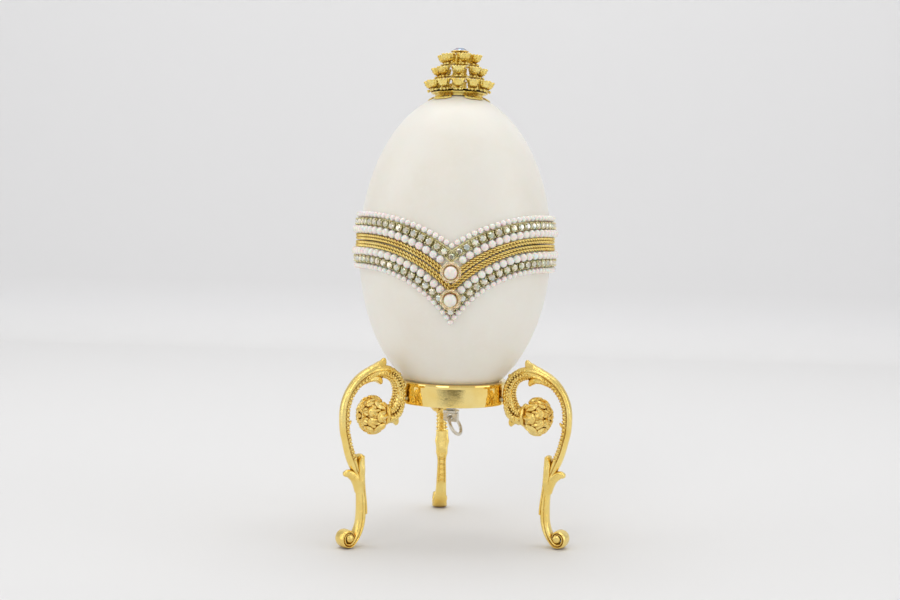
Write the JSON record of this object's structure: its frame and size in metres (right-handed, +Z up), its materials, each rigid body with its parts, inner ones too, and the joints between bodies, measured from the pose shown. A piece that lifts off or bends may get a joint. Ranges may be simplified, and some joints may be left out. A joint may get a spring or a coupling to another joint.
{
  "type": "jewelled egg music box",
  "caption": "Hinged decorated goose egg with a V-shaped cut, pearl and crystal bands, a tiered crown, a winding key and a scrolled tripod stand.",
  "frame": {"origin": "centre of the bounding box on the surface that the feet stand on", "axes": "+Z up along the egg's axis, -Y towards the point of the V (the front), the lid's hinge at +Y"},
  "size_m": [0.0706, 0.075, 0.1496],
  "materials": {
    "pearl_shell": "pearlescent lacquer on real eggshell",
    "velvet": "short pile velvet",
    "antique_gilt": "toned gold plate on brass braid and cup chain",
    "pearl": "imitation pearl",
    "gilt": "polished gold plate on cast brass",
    "crystal": "foil-backed cut crystal with an iridescent coat",
    "steel": "plain steel",
    "nickel": "nickel plate",
    "brass": "machined brass",
    "dark_board": "dark stained board"
  },
  "bodies": {
    "base": {"lower_shell": "pearl_shell", "lower_lining": "velvet", "platform": "velvet", "lower_braid": "antique_gilt", "lower_cup_chain": "antique_gilt", "lower_seed_pearls": "pearl", "lower_pearls_left": "pearl", "lower_pearls_right": "pearl", "lower_vee_pearl": "pearl", "lower_bead_cap": "gilt", "lower_hinge_leaf": "gilt", "hinge_pin": "gilt", "stand_ring": "gilt", "leg_left": "gilt", "leg_right": "gilt", "leg_rear": "gilt", "rosette_left": "gilt", "rosette_right": "gilt", "rosette_rear": "gilt", "leg_screw_left": "steel", "leg_screw_right": "steel", "leg_screw_rear": "steel", "comb_base": "steel", "comb": "steel", "comb_screw_1": "steel", "comb_screw_2": "steel", "bedplate": "brass", "bearing_left": "brass", "bearing_right": "brass", "barrel_bridge": "brass", "governor_frame": "brass", "movement_mount": "dark_board"},
    "lid": {"upper_shell": "pearl_shell", "upper_lining": "velvet", "upper_braid": "antique_gilt", "upper_cup_chain": "antique_gilt", "upper_seed_pearls": "pearl", "upper_pearls_left": "pearl", "upper_pearls_right": "pearl", "upper_bead_cap": "gilt", "upper_vee_pearl": "pearl", "upper_hinge_leaf": "gilt", "crown_base": "gilt", "crown_post": "gilt", "crown_tier_1": "gilt", "crown_tier_2": "gilt", "crown_tier_3": "gilt", "stone_setting": "gilt", "crown_stone": "crystal", "lid_striker": "gilt"},
    "winding_key": {"winding_arbor": "steel", "key_hub": "nickel"},
    "key_loop": {"key_ring": "nickel"},
    "barrel": {"spring_barrel": "brass", "barrel_gear": "brass"},
    "cylinder": {"pin_cylinder": "brass", "cylinder_gear": "brass"},
    "fly_governor": {"governor": "brass"},
    "stop": {"stop_pin": "steel"}
  },
  "joints": [
    {"name": "lid_hinge", "type": "hinge", "parent": "base", "child": "lid", "pos_m": [-0.00208, 0.0296, 0.0907], "axis": [-1, 0, 0], "range_deg": [0, 85]},
    {"name": "key_turn", "type": "hinge", "parent": "base", "child": "winding_key", "pos_m": [-0.00208, -0.002, 0.0383], "axis": [0, 0, 1], "continuous": true},
    {"name": "key_ring_swing", "type": "hinge", "parent": "winding_key", "child": "key_loop", "pos_m": [-0.00208, -0.002, 0.0366], "axis": [0.4067, 0.9135, 0], "range_deg": [-61, 119]},
    {"name": "barrel_turn", "type": "hinge", "parent": "base", "child": "barrel", "pos_m": [-0.00208, -0.002, 0.063], "axis": [0, 0, 1], "continuous": true},
    {"name": "cylinder_turn", "type": "hinge", "parent": "base", "child": "cylinder", "pos_m": [-0.00208, 0.0089, 0.066], "axis": [1, 0, 0], "continuous": true},
    {"name": "governor_turn", "type": "hinge", "parent": "base", "child": "fly_governor", "pos_m": [-0.00208, -0.0125, 0.0645], "axis": [0, 0, 1], "continuous": true},
    {"name": "stop_pin_lift", "type": "slide", "parent": "base", "child": "stop", "axis": [0, 0, 1], "range_m": [0, 0.0015]}
  ],
  "couplings": [
    {"joint": "cylinder_turn", "follows": "barrel_turn", "ratio": 1.3333},
    {"joint": "governor_turn", "follows": "barrel_turn", "ratio": -24},
    {"joint": "stop_pin_lift", "follows": "lid_hinge", "m_per_rad": 0.001}
  ]
}
